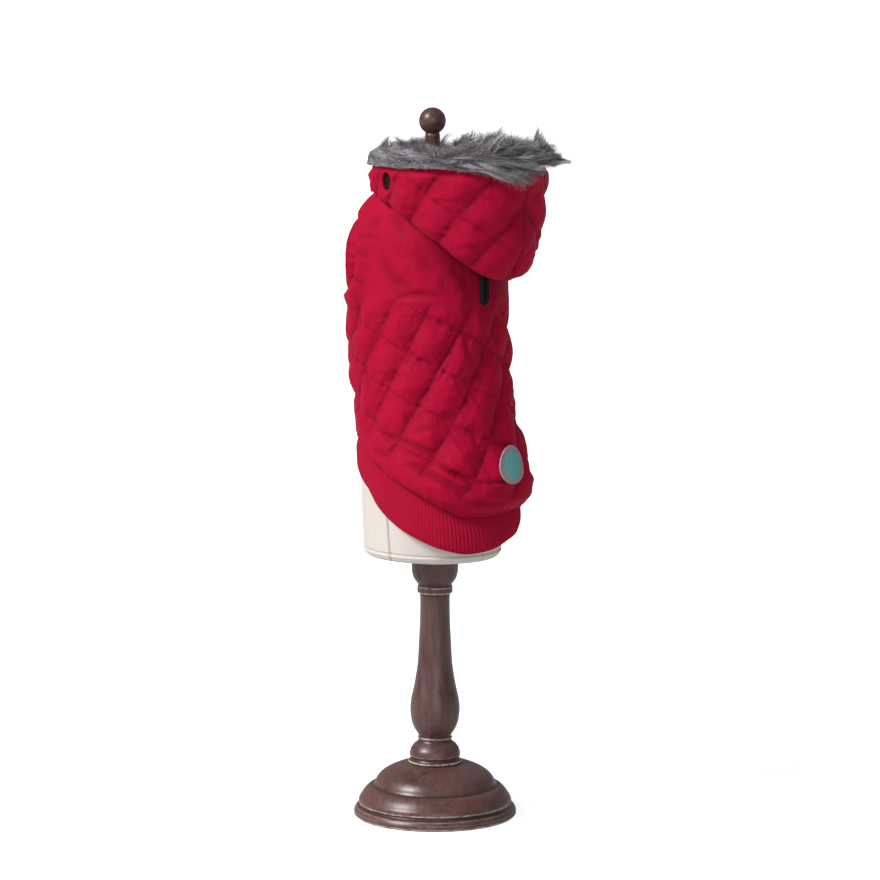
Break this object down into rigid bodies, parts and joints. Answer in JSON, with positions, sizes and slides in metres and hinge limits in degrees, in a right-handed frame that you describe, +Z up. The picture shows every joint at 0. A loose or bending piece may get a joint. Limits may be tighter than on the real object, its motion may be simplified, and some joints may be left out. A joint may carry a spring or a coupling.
{
  "type": "dog coat on a dress form stand",
  "caption": "Quilted red dog coat with a fur-trimmed hood, rib-knit hem, gathered leg cuffs and a leash slot, worn by a limbless linen dress form on a turned wooden stand.",
  "frame": {"origin": "centre of the stand's flat foot, on the surface that it stands on", "axes": "+Z up along the stand's axis; the coat's back faces +Y, its belly -Y and its left flank +X"},
  "size_m": [0.1801, 0.2425, 0.7143],
  "materials": {
    "red_cloth": "soft satin-woven quilted polyester, matte with a faint sheen",
    "red_rib": "matte rib knit",
    "grey_fur": "long-pile faux fur, grey with lighter and darker hairs",
    "black_binding": "matte black woven binding",
    "label_cloth": "smooth woven label cloth, grey",
    "cream_linen": "plain cream linen",
    "dark_walnut": "dark walnut stain, satin, worn pale at the edges"
  },
  "bodies": {
    "root": {"back_panel": "red_cloth", "chest_panel": "red_cloth", "hood_left": "red_cloth", "hood_right": "red_cloth", "fur_trim": "grey_fur", "rib_hem": "red_rib", "leg_cuff_left": "red_cloth", "leg_cuff_right": "red_cloth", "slot_welt": "black_binding", "label": "label_cloth", "form_torso": "cream_linen", "neck_cap": "dark_walnut", "finial": "dark_walnut", "stand_column": "dark_walnut", "stand_base": "dark_walnut"}
  },
  "joints": []
}
